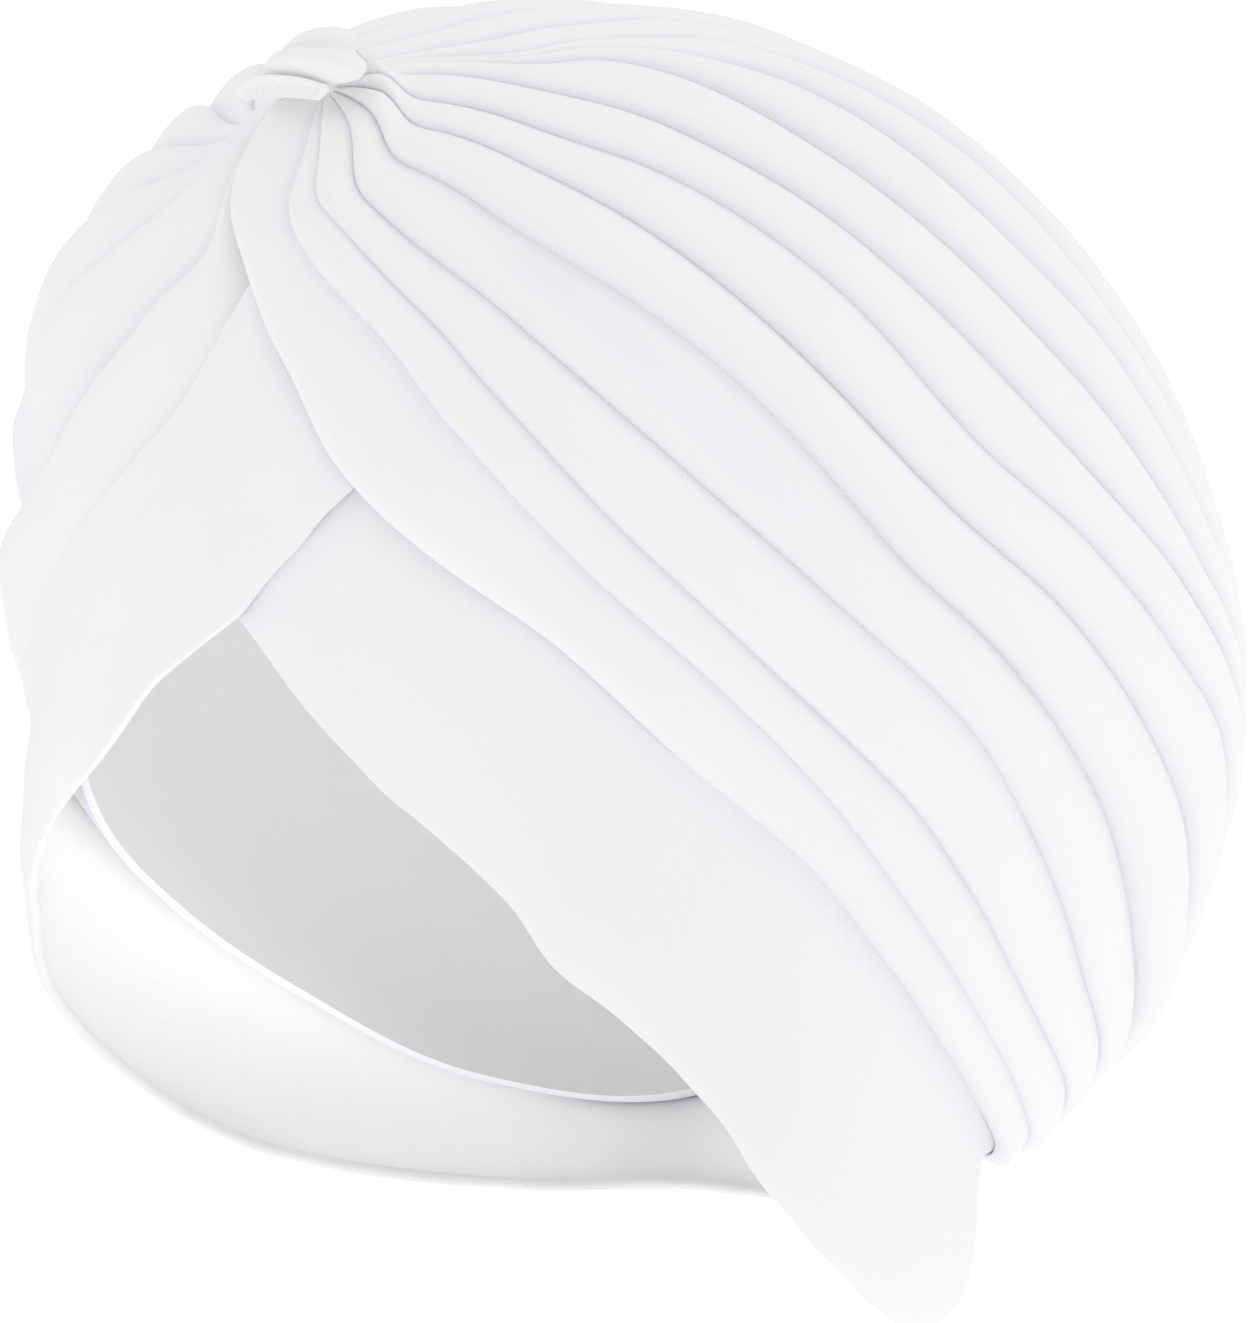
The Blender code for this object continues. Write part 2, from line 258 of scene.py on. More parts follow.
# %% The crown's folds
FOLD_POLAR = (4, 10, 20, 30, 50, 70, 90, 110, 130, 150, 176)
FOLD_ROWS = (
    # name, height in millimetres, turn at each polar angle
    ("left_edge", 3.0, (230, 190, 163, 152.5, 133, 125, 119.5, 117.5, 116, 115, 115)),
    ("left_1", 3.0, (167, 155, 136, 130, 122, 116, 113, 112, 111, 110, 108)),
    ("left_2", 3.2, (155, 137, 124, 120, 115, 110.5, 107, 106, 105, 102.5, 100)),
    ("left_3", 3.6, (125, 118, 110, 107, 103, 100, 97, 97, 97.5, 95.5, 92)),
    ("left_4", 5.0, (100, 90, 89.5, 88.5, 89.5, 91, 89, 88, 88.5, 88, 84)),
    ("left_5", 3.6, (71, 65, 70, 73.5, 80, 82.5, 80, 78, 76.5, 76, 74)),
    ("left_6", 3.4, (41, 43, 54, 58, 66.5, 73, 71.5, 68.5, 64, 62, 63)),
    ("left_7", 3.4, (8, 14, 33, 42.5, 55.5, 62, 64, 61, 57, 54, 52)),
    ("left_8", 3.4, (-14, -2, 18, 20, 40, 51, 55, 55.5, 52, 48, 42)),
    ("left_9", 3.0, (-22, -8, 13, 15, 20, 38, 45, 48.5, 46, 42, 33)),
    ("left_10", 2.6, (-28, -13, 10, 11, 10, 21, 37, 40, 39, 36, 24)),
    ("top_1", 3.0, (-36, -18, -2, 0, 0, 3, 16, 27, 30, 27, 14)),
    ("top_2", 3.0, (-60, -40, -18, -13, -12, -11, -2, 9, 15, 14, 3)),
    ("top_3", 3.0, (-72, -55, -36, -29, -27, -25, -18, -7, 0, 2, -9)),
    ("right_1", 3.2, (-80, -66, -50, -44, -42, -40, -35, -26, -18, -14, -22)),
    ("right_2", 3.2, (-88, -76, -62, -57, -56, -55, -54, -46, -38, -32, -36)),
    ("right_3", 3.2, (-96, -86, -76, -72, -70, -68, -67, -62, -56, -50, -50)),
    ("right_4", 3.2, (-103, -96, -90, -87, -84, -81, -79, -76, -72, -68, -64)),
    ("right_5", 3.2, (-110, -107, -105, -103, -99, -94, -90, -88, -86, -84, -78)),
    ("right_6", 3.4, (-116, -120, -122, -121, -115.5, -104, -98.5, -97, -96, -96, -92)),
    ("right_7", 4.6, (-119, -150, -146, -140.5, -133.5, -118.5, -112, -109.5, -108, -107, -106)),
    ("right_edge", 0.0, (-121, -171, -178, -168, -156, -148, -142, -137, -134, -133, -131)),
)
CROWN_ENDS, KNOT_ZONE = (2.0, 176.5), 12.0
ZONE_STATIONS, CROWN_STATIONS = 26, 246
WIDE_PLEAT = 9.0
PLEAT_FULLNESS = 1.4
PRESS_MARKS = (
    # turn, polar angle, lean from the pleat's run in degrees, half length, half width, height in millimetres
    (77.0, 68.0, 65, 3.4, 1.1, 0.55),
    (79.5, 67.0, 65, 3.6, 1.6, -0.45),
    (49.0, 81.0, 70, 3.0, 1.2, 0.4),
    (66.0, 77.0, 60, 2.6, 1.1, 0.35),
    (65.0, 85.0, 60, 2.6, 1.1, 0.35),
    (52.0, 62.0, 75, 3.0, 1.4, -0.3),
    (88.0, 98.0, 80, 3.2, 1.3, 0.3),
    (-105.0, 17.0, 85, 3.4, 1.0, 0.4),
    (12.0, 60.0, 80, 3.2, 1.4, 0.3),
    (-40.0, 90.0, 75, 3.4, 1.4, 0.35),
    (20.0, 120.0, 70, 3.4, 1.4, -0.35),
)
WALL = 1.3
PLEAT_SEAT = 3.5
FRONT_LIFT, LIFT_TURNS, LIFT_START, LIFT_END = 5.4, (112, 138), (3, 12), (33, 52)
RIGHT_SINK, SINK_TURNS = 0.6, (-140, -118)
POCKETS = (
    # name, turn in its middle, half width, polar angles where it starts and ends, depth in millimetres
    ("between left_3 and left_4", 97, 6, (12, 26), (46, 84), 2.6),
    ("above right_7", -122, 8, (36, 48), (56, 74), 2.8),
    ("right shoulder", -88, 45, (3, 7), (12, 24), 2.6),
)
# how much painted shade the pockets between some pleats take for each millimetre of their depth
POCKET_PAINTED_SHADE = 0.21
KNOT_SHIFT, SHIFT_END = 6.6, (3, 10)
KNOT_SPREAD, SPREAD_END = 0.3, (3, 9)
EDGE_RADIUS = (0.2, 3.2)
EDGE_SHARE = 0.3
NOSE_MIDDLE = 0.1
FACE_POWER = 1.9
UNDERLAP = 0.4
SEAT_AT_EDGE, SEAT_UNDER = 0.6, 0.8
FRONT_TURN_IN, FRONT_SEAT, SIDE_SEAT, FRONT_FLATTEN = 5.0, 1.7, 1.5, 0.35
DIVE_DEPTH, DIVE_SHRINK, DIVE_END = 5.0, 0.6, 4.5
NOSE_ANGLES = (178, 168, 157, 145, 131, 112)
# where across a pleat's face the painted crease shade rises towards the next crease
CREASE_SHADE_SHARES = (0.66, 1.03)
FACE_SHARES = (0.0, 0.17, 0.37, 0.58, 0.78, 0.92, 1.0)
INNER_SHARES = (0.0, 0.5)
FRONT_RIM = 4
WOBBLE = 0.45
RIPPLE = 0.3


def layer(turn, polar):
    """How far the creases between the pleats stand off the head form."""
    lift = FRONT_LIFT * ramp(turn, *LIFT_TURNS) * ramp(polar, *LIFT_START) * (1 - ramp(polar, *LIFT_END))
    sink = RIGHT_SINK * (1 - ramp(turn, *SINK_TURNS)) + pocket_depth(turn, polar)
    return lift - PLEAT_SEAT - sink


def pocket_depth(turn, polar):
    """How deep in the pockets between some pleats a place is, in millimetres."""
    depth = 0.0
    for _, middle, half_width, start, end, deepest in POCKETS:
        across = np.exp(-(((np.asarray(turn) - middle) / half_width) ** 2))
        depth = depth + deepest * across * ramp(polar, *start) * (1 - ramp(polar, *end))
    return depth


def pleat_section(width, height, under, seat):
    """(x, z, painted crease shade) across one pleat, x and z in millimetres: the turned-under part, the rounded
    folded edge, the face.
    """
    edge = np.clip(EDGE_SHARE * width, EDGE_RADIUS[0], EDGE_RADIUS[1] + 0.5 * seat)
    middle = NOSE_MIDDLE * height - SEAT_AT_EDGE * seat
    # the third value is painted shade: full on the turned-under part, fading round the folded edge, rising again
    # towards the next crease
    points = [(under, -SEAT_UNDER * seat, 1.0), (0.0, -SEAT_AT_EDGE * seat, 1.0)]
    for angle in NOSE_ANGLES:
        reach, lift = 1 + math.cos(math.radians(angle)), math.sin(math.radians(angle))
        points.append((edge * reach**0.85, middle + (height - middle) * lift, 0.85 * (1 - lift) ** 1.5))
    for share in FACE_SHARES:
        x = edge + (width - edge) * share
        points.append((x, height * (1 - share**FACE_POWER), float(ramp(share, *CREASE_SHADE_SHARES))))
    return points


fold_names = [row[0] for row in FOLD_ROWS]
print(len(fold_names) - 1, "pleats,", len(pleat_section(15, 3, 2, 0)), "points across each")

# %% [markdown]
# Now the sections are swept from the knot to the nape. Real fold edges wander a little and no pleat is as full as
# its neighbour all the way, so each edge gets a slow wobble and each face a soft ripple. Both come from noise
# that reads the place only, which gives the same crown every time.

# %% Crown


def crown_station(polar):
    """The outer points, inner points and painted crease shade across the crown at one polar angle."""
    circle = float(form_distance(90, polar)) * math.sin(math.radians(polar))
    calm = float(ramp(polar, 4, 22) * (1 - ramp(polar, 158, 176)))
    edges = []
    for number, row in enumerate(FOLD_ROWS):
        wander = noise.noise(Vector((polar / 14, number * 3.7, 0.5))) * WOBBLE * calm
        edges.append(float(through(polar, FOLD_POLAR, row[2])) + math.degrees(wander / circle))
    turns, heights, painted_shades, inner_turns = [], [], [], []
    widths = [math.radians(start - end) * circle for start, end in zip(edges, edges[1:])]
    unders = [min(UNDERLAP, 0.4 * width) for width in widths]
    unders[0] = min(FRONT_TURN_IN, 0.8 * widths[0])
    for number, width in enumerate(widths):
        full = 1 + 0.16 * noise.noise(Vector((polar / 20, number * 5.3, 7.5))) * calm
        height = FOLD_ROWS[number][1] * PLEAT_FULLNESS * width / (width + WIDE_PLEAT) * full
        seat = 0.0
        if number == 0:
            seat = FRONT_SEAT * float(ramp(polar, 20, 40)) + SIDE_SEAT * float(ramp(polar, 55, 75))
            height *= 1 - FRONT_FLATTEN * float(ramp(polar, 60, 100))
        for x, z, painted_shade in pleat_section(width, height, unders[number], seat):
            turns.append(edges[number] - math.degrees(x / circle))
            heights.append(z)
            # painted shade: the crease's, or the pockets' where that is stronger
            painted_shades.append(max(painted_shade, POCKET_PAINTED_SHADE * float(pocket_depth(turns[-1], polar))))
        first = unders[0] if number == 0 else 0.0
        places = [first + (width - first) * share for share in INNER_SHARES]
        inner_turns += [edges[number] - math.degrees(place / circle) for place in places]
    inner_turns.append(edges[-1])
    turns, inner_turns = np.array(turns), np.array(inner_turns)
    dive = float(1 - ramp(polar, CROWN_ENDS[0], DIVE_END))
    shift = KNOT_SHIFT * float(1 - ramp(polar, *SHIFT_END)) * BACK - DIVE_DEPTH * dive * AXIS
    outer = head_points(turns, polar, layer(turns, polar) + np.array(heights)) + shift
    inner = head_points(inner_turns, polar, layer(inner_turns, polar) - WALL) + shift
    spread = KNOT_SPREAD * float(1 - ramp(polar, *SPREAD_END))
    pole = KNOT + shift
    chains = []
    for chain in (outer, inner):
        chain = chain + spread * np.maximum(chain @ SIDE, 0)[:, None] * SIDE
        chains.append(pole + (chain - pole) * (1 - DIVE_SHRINK * dive))
    return chains[0], chains[1], painted_shades


def press_marks(points):
    """Height in millimetres of the small creases that folding for the packet has pressed across the pleats."""
    height = np.zeros(points.shape[:-1])
    for turn, polar, lean, half_length, half_width, high in PRESS_MARKS:
        here, further = [head_points(np.array([turn]), angle, np.array([0.0]))[0] for angle in (polar, polar + 1)]
        run = (further - here) / np.linalg.norm(further - here)
        out = (here - CENTRE) / np.linalg.norm(here - CENTRE)
        cross = np.cross(out, run)
        angle = math.radians(lean)
        long = (points - here) @ (run * math.cos(angle) + cross * math.sin(angle)) / half_length
        short = (points - here) @ (cross * math.cos(angle) - run * math.sin(angle)) / half_width
        deep = (points - here) @ out / half_length / 2
        height += high * np.exp(-(long**2) - short**2 - deep**2)
    return height


def make_crown():
    polars = np.concatenate([
        np.linspace(CROWN_ENDS[0], KNOT_ZONE, ZONE_STATIONS)[:-1],
        np.linspace(KNOT_ZONE, CROWN_ENDS[1], CROWN_STATIONS),
    ])
    outer, inner, painted_shade = (np.array(grid) for grid in zip(*[crown_station(polar) for polar in polars]))
    away = outer - CENTRE
    away /= np.linalg.norm(away, axis=-1, keepdims=True)
    calm = ramp(polars, 6, 25) * (1 - ramp(polars, 150, 172))
    ripple = (soft_noise(outer, 16.0, 1) * 0.6 + soft_noise(outer, 7.0, 2) * 0.3) * RIPPLE
    outer = outer + away * (ripple * calm[:, None] * (1 - painted_shade * 0.7) + press_marks(outer))[..., None]
    flat_outer = np.stack([lengths_along(outer, 1), lengths_along(outer, 0)], axis=-1)
    flat_inner = np.stack([lengths_along(inner, 1), lengths_along(inner, 0)], axis=-1)
    return cloth_shell("crown_cloth", outer, inner, flat_outer, flat_inner, painted_shade), outer[:, FRONT_RIM]


crown, crown_front = make_crown()
report(crown)

# %% [markdown]
# The brow bands are cut from the same jersey, doubled, with the fold as the hem. Each is a strip between its hem
# and an upper edge that lies under the crown's front pleat on the left, and over the last pleat on the right.
# A row for each section gives both edges, and the strip between them keeps to the head form. The hem is not a
# cut line but a fold, so the shell turns round it on a small radius.

# %% Brow bands
LEFT_BAND_ROWS = (
    # hem in millimetres, then the upper edge's turn, polar angle and height over the head form
    ((-9, -103, -64), (181, 32, -2.4)),
    ((0, -102.5, -71), (178, 31, -2.4)),
    ((14, -102.5, -82.5), (160, 29, -2.4)),
    ((27, -99, -95), (146, 32, -2.8)),
    ((43, -90, -110.5), (133, 44, -5.4)),
    ((53, -86, -123), (122, 57, -5.5)),
    ((63, -78, -133.5), (116, 70, -5.6)),
    ((70, -70, -145.5), (111, 84, -5.7)),
    ((76, -59, -163.5), (110, 100, -5.7)),
    ((75, -39, -183.5), (110, 118, -5.6)),
    ((69, -19, -197.5), (110, 134, -5.5)),
    ((57, 3, -206), (110, 148, -5.8)),
    ((38, 22, -209), (112, 160, -5.8)),
    ((19, 30, -206.5), (120, 170, -5.8)),
    ((0.2, 33, -204.5), (179, 176, -5.4)),
)
RIGHT_BAND_ROWS = (
    ((32, -99, -33), (166, 14, -1.0)),
    ((22, -104, -46), (176, 14, 0.0)),
    ((11, -105, -58.5), (183, 17, 0.0)),
    ((0, -105, -71), (187, 20, 0.0)),
    ((-14, -104, -82.5), (194, 26.5, 0.0)),
    ((-27, -99.5, -95), (202, 33, 0.0)),
    ((-43, -91, -110.5), (210.5, 43, 0.0)),
    ((-54, -87, -122.5), (215.5, 53, 0.0)),
    ((-64, -79, -133), (221, 67, 0.0)),
    ((-71, -71, -145), (227, 82, 0.2)),
    ((-77, -60, -163), (233, 100, 0.4)),
    ((-75, -40, -183), (237, 118, 0.6)),
    ((-69, -20, -197), (239, 134, 0.8)),
    ((-57, 3, -206), (240, 148, 1.0)),
    ((-38, 22, -209), (238, 160, 1.0)),
    ((-19, 30, -206.5), (236, 170, 0.0)),
    ((-0.2, 33, -204.5), (181, 176, -3.2)),
)
LEFT_HOLD, RIGHT_HOLD = 0.2, 0.3
BAND_STATIONS = 150
BAND_SHARES = np.linspace(0, 1, 34)
LEFT_WALL, RIGHT_WALL = 1.3, 1.9
HEM_ANGLES = np.radians((30, 60, 90, 120, 150))
BAND_SWELL = 0.7
HEM_WAVE, HEM_WAVE_LENGTH = 0.7, 12.0
SHADE_REACH, SHADE_TINT = 9.0, 1.0
# how much of the right band's hem casts painted shadow on the left band
CROSSED_STATIONS = 70


def band_line(rows, hold, along):
    """Places of the band's face from hem to upper edge, at one place along it."""
    stations = np.arange(len(rows))
    hem = [float(through(along, stations, [row[0][k] for row in rows])) for k in range(3)]
    top_turn, top_polar, top_over = [
        float(through(along, stations, [row[1][k] for row in rows])) for k in range(3)
    ]
    hem_turn, hem_polar, hem_distance = seen_from_centre(hem)
    hem_turn = top_turn + (hem_turn - top_turn + 180) % 360 - 180
    hem_over = hem_distance - float(form_distance(hem_turn, hem_polar))
    points = []
    for share in BAND_SHARES:
        turn = hem_turn + (top_turn - hem_turn) * share
        polar = hem_polar + (top_polar - hem_polar) * share
        over = hem_over + (top_over - hem_over) * float(ramp(share, 0, 1 - hold))
        points.append(head_points(np.array([turn]), polar, np.array([over]))[0])
    return np.array(points)


def nearness(points, line, reach):
    """1 on a line of points, falling softly to 0 at `reach` millimetres from it."""
    gap = np.min(np.linalg.norm(points[..., None, :] - line, axis=-1), axis=-1)
    return (1 - np.clip(gap / reach, 0, 1)) ** 1.5


def make_band(name, rows, hold, wall, seed, over_lines):
    face = np.array([band_line(rows, hold, along) for along in np.linspace(0, len(rows) - 1, BAND_STATIONS)])
    hem_wave = soft_noise(face[:, :1], HEM_WAVE_LENGTH, seed + 2) * HEM_WAVE * (1 - ramp(BAND_SHARES, 0, 0.3))
    down = -np.gradient(face, axis=1)
    face = face + down / np.linalg.norm(down, axis=-1, keepdims=True) * hem_wave[..., None]
    along = np.gradient(face, axis=0)
    across = np.gradient(face, axis=1)
    normal = np.cross(along, across)
    normal /= np.linalg.norm(normal, axis=-1, keepdims=True)
    normal *= np.sign(np.sum(normal * (face - CENTRE), axis=-1))[..., None]
    free = ramp(BAND_SHARES, 0.0, 0.2) * (1 - ramp(BAND_SHARES, 0.55, 0.8))
    swell = soft_noise(face, 30.0, seed) * BAND_SWELL + soft_noise(face, 11.0, seed + 1) * BAND_SWELL * 0.25
    face = face + normal * (swell * free)[..., None]
    back = face - normal * wall
    down = -across[:, 0] / np.linalg.norm(across[:, 0], axis=-1, keepdims=True)
    radius = wall / 2
    middle = (face[:, 0] + back[:, 0]) / 2
    turned = [
        middle + radius * (normal[:, 0] * math.cos(angle) + down * math.sin(angle)) for angle in HEM_ANGLES
    ]
    outer = np.concatenate([face[:, ::-1], np.stack(turned, axis=1)], axis=1)
    flat_outer = np.stack([lengths_along(outer, 1), lengths_along(outer, 0)], axis=-1)
    inner = back[:, ::-1]
    flat_inner = np.stack([lengths_along(inner, 1), lengths_along(inner, 0)], axis=-1)
    # painted shadow: the band goes lavender near the crown's front rim and, on the left band, near the right
    # band's hem lying over it
    painted_shade = np.max([nearness(outer, line, SHADE_REACH) * SHADE_TINT for line in over_lines], axis=0)
    return cloth_shell(name, outer, inner, flat_outer, flat_inner, painted_shade), outer[:, -1]


right_band, right_hem = make_band(
    "brow_band_right_cloth", RIGHT_BAND_ROWS, RIGHT_HOLD, RIGHT_WALL, 5, [crown_front]
)
left_band, left_hem = make_band(
    "brow_band_left_cloth", LEFT_BAND_ROWS, LEFT_HOLD, LEFT_WALL, 3,
    [crown_front, right_hem[:CROSSED_STATIONS]]
)
report(left_band)
report(right_band)
hem_lengths = [round(float(lengths_along(hem, 0)[-1].max())) for hem in (left_hem, right_hem)]
print("hem lengths in millimetres:", hem_lengths)

# %% [markdown]
# The knot is a short loop of the jersey drawn tight over the gathered pleats. It has bunched into three soft
# rolls that fan out towards the wearer's left: a front lip with an overlocked edge, a fat middle roll, and a low
# one at the back. Three separate tubes would show hard grooves where they meet, so one sheet runs over all three.
# Each table row gives a line across the loop by its two ends, and the sheet is swept through the lines.

# %% Knot loop
LOOP_ROWS = (
    # right end (side, back), left end (side, back), height, how far the ends drop; millimetres from the knot
    ((-7.7, -2.4), (5.3, 0.8), -1.6, 0.6),
    ((-8.0, -2.7), (6.1, 1.0), -0.9, 0.6),
    ((-8.8, -2.8), (7.2, 1.6), 0.4, 0.8),
    ((-8.7, -2.1), (7.3, 2.3), 1.8, 1.2),
    ((-7.8, -0.7), (6.1, 2.3), 2.6, 1.6),
    ((-6.9, 0.9), (4.9, 2.6), 1.1, 0.8),
    ((-5.6, 1.2), (8.9, 3.5), 2.0, 1.4),
    ((-5.0, 1.8), (12.4, 4.2), 4.0, 2.2),
    ((-4.7, 3.0), (14.0, 5.4), 5.0, 2.6),
    ((-4.5, 4.6), (13.0, 7.2), 4.4, 2.0),
    ((-4.5, 6.1), (9.2, 9.2), 2.3, 1.0),
    ((-4.0, 6.8), (8.3, 10.6), 3.2, 1.4),
    ((-3.4, 8.0), (7.0, 11.8), 3.8, 1.8),
    ((-3.2, 9.9), (5.4, 13.4), 2.2, 1.4),
    ((-3.6, 11.6), (4.8, 14.6), -2.4, 1.2),
    ((-3.8, 12.4), (4.6, 15.2), -7.5, 1.0),
)
LOOP_HEART = (1.0, 5.5, -5.5)
LOOP_INNER_SHARE = 0.8
LOOP_STATIONS = 61
LOOP_POINTS = 160
STITCH_ENDS, STITCH_COUNT = (0.1, 0.92), 21
STITCH_ROWS = (0.6, 2.5)
STITCH_RADIUS, STITCH_PROUD, STITCH_LEAN = 0.12, 0.05, 0.012


def loop_grid(share):
    """Points of the loop's face (share 1) or of its back (a smaller share), station by station across it."""
    along = np.linspace(0, len(LOOP_ROWS) - 1, LOOP_POINTS)
    places = np.arange(len(LOOP_ROWS))
    right_side, right_back = [through(along, places, [row[0][k] for row in LOOP_ROWS]) for k in (0, 1)]
    left_side, left_back = [through(along, places, [row[1][k] for row in LOOP_ROWS]) for k in (0, 1)]
    height, drop = [through(along, places, [row[k] for row in LOOP_ROWS]) for k in (2, 3)]
    heart_side, heart_back, heart_height = LOOP_HEART
    grid = []
    for across in np.linspace(0, 1, LOOP_STATIONS):
        side = right_side + (left_side - right_side) * across
        back = right_back + (left_back - right_back) * across
        tall = height - drop * abs(2 * across - 1) ** 3
        side = heart_side + (side - heart_side) * share**0.5
        back = heart_back + (back - heart_back) * share
        tall = heart_height + (tall - heart_height) * share
        grid.append(KNOT + back[:, None] * BACK + tall[:, None] * AXIS + side[:, None] * SIDE)
    return np.array(grid)


def make_knot_loop():
    outer, inner = loop_grid(1.0), loop_grid(LOOP_INNER_SHARE)
    outer = outer + (soft_noise(outer, 4.5, 8) * 0.4)[..., None] * AXIS
    flat_outer = np.stack([lengths_along(outer, 1), lengths_along(outer, 0)], axis=-1)
    flat_inner = np.stack([lengths_along(inner, 1), lengths_along(inner, 0)], axis=-1)
    return cloth_shell("knot_loop_cloth", outer, inner, flat_outer, flat_inner, np.zeros(outer.shape[:2]))


knot_loop = make_knot_loop()
report(knot_loop)

# %% [markdown]
# The lip's raw edge is overlocked: a fine thread crosses it every millimetre or so. The stitches are real thread
# here, a bevelled curve with one short bowed spline for each, because they are the only seam that shows.

# %% Overlock stitches


def make_stitches():
    grid = loop_grid(1.0)
    grid = grid + (soft_noise(grid, 4.5, 8) * 0.4)[..., None] * AXIS
    thread = bpy.data.curves.new("knot_loop_stitches", "CURVE")
    thread.dimensions = "3D"
    thread.bevel_depth, thread.bevel_resolution = STITCH_RADIUS * MM, 2
    thread.use_fill_caps = True
    rows = np.linspace(*STITCH_ROWS, 7) / (len(LOOP_ROWS) - 1) * (LOOP_POINTS - 1)
    for number in range(STITCH_COUNT):
        share = STITCH_ENDS[0] + (STITCH_ENDS[1] - STITCH_ENDS[0]) * number / (STITCH_COUNT - 1)
        lean = STITCH_LEAN * (1 if number % 2 else -1)
        spline = thread.splines.new("POLY")
        spline.points.add(len(rows) - 1)
        for step, row in enumerate(rows):
            station = (share + lean * (step / (len(rows) - 1) - 0.5)) * (LOOP_STATIONS - 1)
            near, part = int(station), station - int(station)
            here = grid[near, int(row)] * (1 - part) + grid[near + 1, int(row)] * part
            out = here - KNOT + 4 * AXIS
            here = here + out / np.linalg.norm(out) * STITCH_PROUD
            spline.points[step].co = (*(here * MM), 1)
    piece = bpy.data.objects.new("knot_loop_stitches", thread)
    bpy.context.scene.collection.objects.link(piece)
    return piece


stitches = make_stitches()
print("stitches:", len(stitches.data.splines))

# %% [markdown]
# At the nape the pleats' ends are closed in by a small stitched patch. The picture hides it, so it is finished
# plainly: a rounded oblong that follows the head form.

# %% Nape tab
TAB_HALF_WIDTH, TAB_HALF_HEIGHT, TAB_WALL, TAB_OVER, TAB_ROUNDING = 15.0, 12.0, 1.8, -0.8, 0.3
TAB_STATIONS = 25


def tab_point(across, down, over):
    corner = math.sqrt(1 - TAB_ROUNDING * abs(down * across))
    place = NAPE + across * corner * TAB_HALF_WIDTH * SIDE - down * corner * TAB_HALF_HEIGHT * BACK
    turn, polar, _ = seen_from_centre(place)
    return head_points(np.array([turn]), polar, np.array([over]))[0]


def make_nape_tab():
    places = np.linspace(-1, 1, TAB_STATIONS)
    outer = np.array([[tab_point(across, down, TAB_OVER + TAB_WALL) for across in places] for down in places])
    inner = np.array([[tab_point(across, down, TAB_OVER) for across in places] for down in places])
    flat = np.stack([lengths_along(outer, 1), lengths_along(outer, 0)], axis=-1)
    return cloth_shell("nape_tab_cloth", outer, inner, flat, flat, np.zeros(outer.shape[:2]))


nape_tab = make_nape_tab()
report(nape_tab)

# %% [markdown]
# White jersey is hard to make look like cloth, because nothing but its shape and its fine surface shows. The
# knit is a node group, placed in every material that is jersey: rows of stitches along the cloth and across it,
# read from the flat cloth's own millimetres, with a soft fuzz over them. A texture image would do, but it would
# blur close up and the script would need a file.

# %% Knit node group


def knit_group():
    group = bpy.data.node_groups.new("jersey_knit", "ShaderNodeTree")
    face = group.interface
    face.new_socket("Cloth", in_out="INPUT", socket_type="NodeSocketVector")
    for name, value in (("Stitches per mm", 1.7), ("Rows per mm", 2.2), ("Fuzz size", 3.0)):
        face.new_socket(name, in_out="INPUT", socket_type="NodeSocketFloat").default_value = value
    face.new_socket("Height", in_out="OUTPUT", socket_type="NodeSocketFloat")
    face.new_socket("Fuzz", in_out="OUTPUT", socket_type="NodeSocketFloat")
    nodes, links = group.nodes, group.links
    start, end = nodes.new("NodeGroupInput"), nodes.new("NodeGroupOutput")

    def maths(kind, first, second):
        node = nodes.new("ShaderNodeMath")
        node.operation = kind
        for socket, value in zip(node.inputs, (first, second)):
            if isinstance(value, (int, float)):
                socket.default_value = value
            else:
                links.new(value, socket)
        return node.outputs[0]

    parts = nodes.new("ShaderNodeSeparateXYZ")
    links.new(start.outputs["Cloth"], parts.inputs[0])
    tau = 2 * math.pi
    across = maths("MULTIPLY", parts.outputs[0], start.outputs["Stitches per mm"])
    along = maths("MULTIPLY", parts.outputs[1], start.outputs["Rows per mm"])
    wale = maths("SINE", maths("MULTIPLY", across, tau), 0)
    course = maths("SINE", maths("MULTIPLY", along, tau), 0)
    stitch = maths("ADD", maths("MULTIPLY", wale, 0.6), maths("MULTIPLY", maths("MULTIPLY", course, wale), 0.4))
    fuzz = nodes.new("ShaderNodeTexNoise")
    fuzz.inputs["Detail"].default_value = 4.0
    links.new(start.outputs["Cloth"], fuzz.inputs["Vector"])
    links.new(start.outputs["Fuzz size"], fuzz.inputs["Scale"])
    height = maths("ADD", maths("MULTIPLY", stitch, 0.35), fuzz.outputs["Fac"])
    links.new(height, end.inputs["Height"])
    links.new(fuzz.outputs["Fac"], end.inputs["Fuzz"])
    return group


knit = knit_group()
print("knit group sockets:", [item.name for item in knit.interface.items_tree])

# %% [markdown]
# The materials themselves hold the shader. White cloth in deep creases looks a little blue and lavender, since
# light reaches it only after many bounces, so that shade is painted into the colour: the painted shade that each
# mesh carries, from crease depth or from an edge lying over it, mixes a lavender into the white there.
# The sheen is the same all over and is set on the shader's own socket.

# %% Jersey materials
WHITE = (0.925, 0.923, 0.925, 1)
# the bands' white is painted a little darker and bluer than the crown's: painted shade for cloth that faces down
# away from the light
SHADED_BAND_WHITE = (0.905, 0.904, 0.912, 1)
# the lavender of the painted shade in creases, pockets and under overlying edges
PAINTED_SHADE_LAVENDER = (0.885, 0.865, 0.93, 1)
THREAD_SHADE, THREAD_TWISTS = (0.86, 0.86, 0.88, 1), 2500


